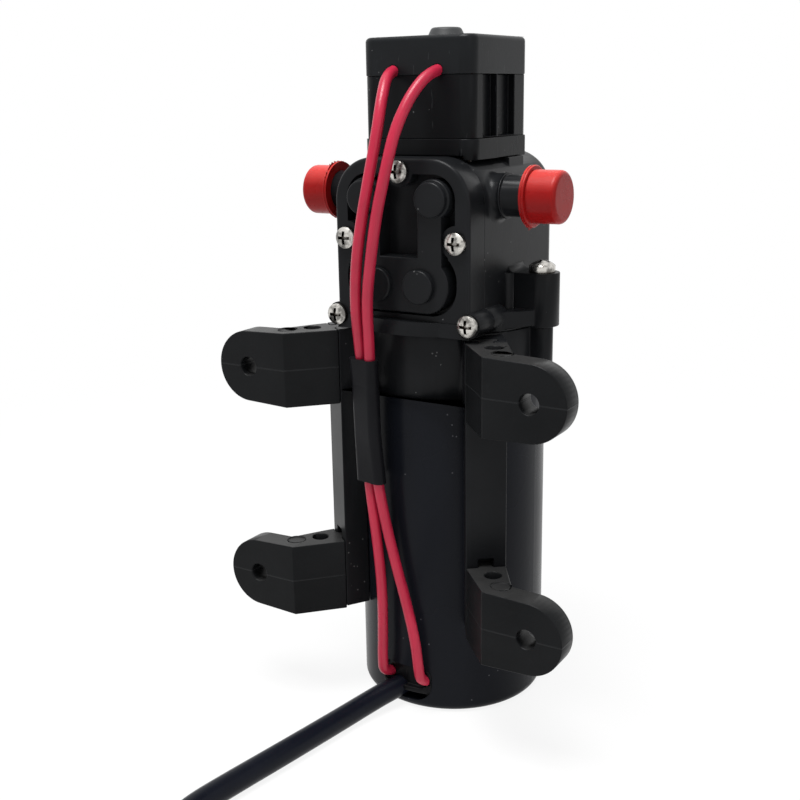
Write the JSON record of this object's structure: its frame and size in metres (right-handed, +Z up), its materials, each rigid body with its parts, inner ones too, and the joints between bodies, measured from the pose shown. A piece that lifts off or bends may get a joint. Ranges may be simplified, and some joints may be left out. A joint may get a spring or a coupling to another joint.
{
  "type": "diaphragm pump",
  "caption": "Upright diaphragm pump with a motor can, railed bracket on slotted feet, screwed pump head, capped side ports and a pressure switch on top.",
  "frame": {"origin": "on the motor axis, at the flat face of the motor's closed end", "axes": "+Z up the motor axis, +X across the ports, -Y out of the pump cover"},
  "size_m": [0.1197, 0.1508, 0.1653],
  "materials": {
    "motor_black": "satin",
    "bearing_bronze": "sintered",
    "steel": "turned",
    "magnet_grey": "ferrite, matt",
    "copper": "enamelled wire",
    "card_brown": "laminate",
    "carbon": "matt",
    "spring_steel": "bright wire",
    "black_plastic": "fine satin",
    "foot_rubber": "matt",
    "seal_rubber": "matt",
    "white_plastic": "moulded",
    "bearing_steel": "bright",
    "cam_brass": "turned",
    "microswitch_black": "moulded",
    "clear_plug": "milky",
    "red_cap": "soft satin",
    "cable_black": "satin",
    "lead_red": "satin"
  },
  "bodies": {
    "pump": {"motor_can": "motor_black", "rear_bearing": "bearing_bronze", "front_bearing": "bearing_bronze", "motor_front_plate": "steel", "magnets": "magnet_grey", "brush_card": "card_brown", "brushes": "carbon", "brush_springs": "spring_steel", "mounting_bracket": "black_plastic", "foot_upper_right": "foot_rubber", "foot_upper_left": "foot_rubber", "pump_housing": "black_plastic", "pump_cover": "black_plastic", "cover_gasket": "seal_rubber", "valve_plate": "white_plastic", "diaphragm": "seal_rubber", "switch_base": "black_plastic", "switch_body": "black_plastic", "switch_cap": "black_plastic", "switch_diaphragm": "seal_rubber", "switch_spring": "spring_steel", "microswitch": "microswitch_black", "cover_screws": "bearing_steel", "flange_screws": "bearing_steel", "motor_screws": "bearing_steel", "switch_screws": "bearing_steel", "supply_cable": "cable_black", "cable_conductors": "lead_red", "switch_lead_left": "lead_red", "switch_lead_right": "lead_red", "cable_grommet": "seal_rubber", "shrink_sleeve": "cable_black"},
    "rotor": {"rotor_shaft": "steel", "rotor_core": "steel", "rotor_windings": "copper", "commutator": "copper", "eccentric_cam": "cam_brass"},
    "rod": {"connecting_rod": "white_plastic", "cam_bearing": "bearing_steel", "diaphragm_clamp": "white_plastic", "clamp_screw": "bearing_steel"},
    "inlet_valve": {"inlet_valve": "seal_rubber"},
    "outlet_valve": {"outlet_valve": "seal_rubber"},
    "switch_piston": {"switch_piston": "white_plastic"},
    "microswitch_button": {"microswitch_button": "white_plastic"},
    "adjusting_screw": {"adjusting_screw": "bearing_steel"},
    "dome_plug": {"dome_plug": "clear_plug"},
    "port_cap_left": {"port_cap_left": "red_cap"},
    "port_cap_right": {"port_cap_right": "red_cap"},
    "foot_lower_left": {"foot_lower_left": "foot_rubber"},
    "foot_lower_right": {"foot_lower_right": "foot_rubber"}
  },
  "joints": [
    {"name": "rotor_spin", "type": "hinge", "parent": "pump", "child": "rotor", "pos_m": [0, 0, 0.1083], "axis": [0, 0, 1], "continuous": true},
    {"name": "rod_orbit", "type": "hinge", "parent": "rotor", "child": "rod", "pos_m": [0, 0.0012, 0.1083], "axis": [0, 0, 1], "continuous": true, "deforming": ["diaphragm"]},
    {"name": "inlet_valve_lift", "type": "slide", "parent": "pump", "child": "inlet_valve", "axis": [0, 1, 0], "range_m": [0, 0.0004], "stiffness_N_per_m": 4},
    {"name": "outlet_valve_lift", "type": "slide", "parent": "pump", "child": "outlet_valve", "axis": [0, -1, 0], "range_m": [0, 0.0004], "stiffness_N_per_m": 4},
    {"name": "piston_lift", "type": "slide", "parent": "pump", "child": "switch_piston", "axis": [0, 0, 1], "range_m": [0, 0.0006], "stiffness_N_per_m": 500, "deforming": ["switch_spring"]},
    {"name": "microswitch_press", "type": "slide", "parent": "pump", "child": "microswitch_button", "axis": [0, 0, 1], "range_m": [0, 0.0006]},
    {"name": "adjuster_turn", "type": "hinge", "parent": "pump", "child": "adjusting_screw", "pos_m": [0, -0.0015, 0.1631], "axis": [0, 0, 1], "range_deg": [-360, 360]},
    {"name": "dome_plug_pull", "type": "slide", "parent": "pump", "child": "dome_plug", "axis": [0, 0, 1], "range_m": [0, 0.008]},
    {"name": "port_cap_left_pull", "type": "slide", "parent": "pump", "child": "port_cap_left", "axis": [-1, 0, 0], "range_m": [0, 0.012]},
    {"name": "port_cap_right_pull", "type": "slide", "parent": "pump", "child": "port_cap_right", "axis": [1, 0, 0], "range_m": [0, 0.012]},
    {"name": "foot_lower_left_slide", "type": "slide", "parent": "pump", "child": "foot_lower_left", "axis": [0, 0, 1], "range_m": [-0.0205, 0.0019]},
    {"name": "foot_lower_right_slide", "type": "slide", "parent": "pump", "child": "foot_lower_right", "axis": [0, 0, 1], "range_m": [-0.0205, 0.0019]}
  ],
  "couplings": [
    {"joint": "rod_orbit", "follows": "rotor_spin", "ratio": -1},
    {"joint": "microswitch_press", "follows": "piston_lift", "ratio": 1}
  ]
}
